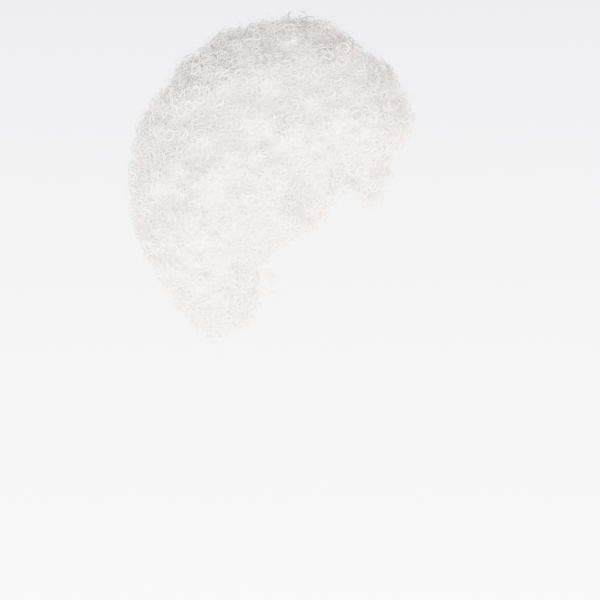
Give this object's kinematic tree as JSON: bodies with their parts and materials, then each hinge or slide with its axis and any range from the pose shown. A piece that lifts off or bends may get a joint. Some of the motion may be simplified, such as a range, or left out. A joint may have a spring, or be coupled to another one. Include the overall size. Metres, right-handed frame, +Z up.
{
  "type": "afro wig",
  "caption": "Big round afro wig of tight synthetic ringlets on a hollow stretch cap, with a short fringe, temple locks, full sides and a full nape.",
  "frame": {"origin": "inside the wig's cap at the top of the crown, where the wig sits on what wears it", "axes": "+Z up through the crown, +X towards the front of the wig, -Y towards its right side"},
  "size_m": [0.3198, 0.3028, 0.3697],
  "materials": {
    "curled_hair": "matt white synthetic fibre with a faint sheen, curled into tight ringlets",
    "cap_net": "matt off-white stretch net with sewn weft tracks"
  },
  "bodies": {
    "root": {"wig_cap": "cap_net", "crown_wefts": "curled_hair", "front_wefts": "curled_hair", "fringe_locks": "curled_hair", "right_temple_locks": "curled_hair", "left_temple_locks": "curled_hair", "right_side_wefts": "curled_hair", "left_side_wefts": "curled_hair", "back_wefts": "curled_hair", "nape_wefts": "curled_hair"}
  },
  "joints": []
}
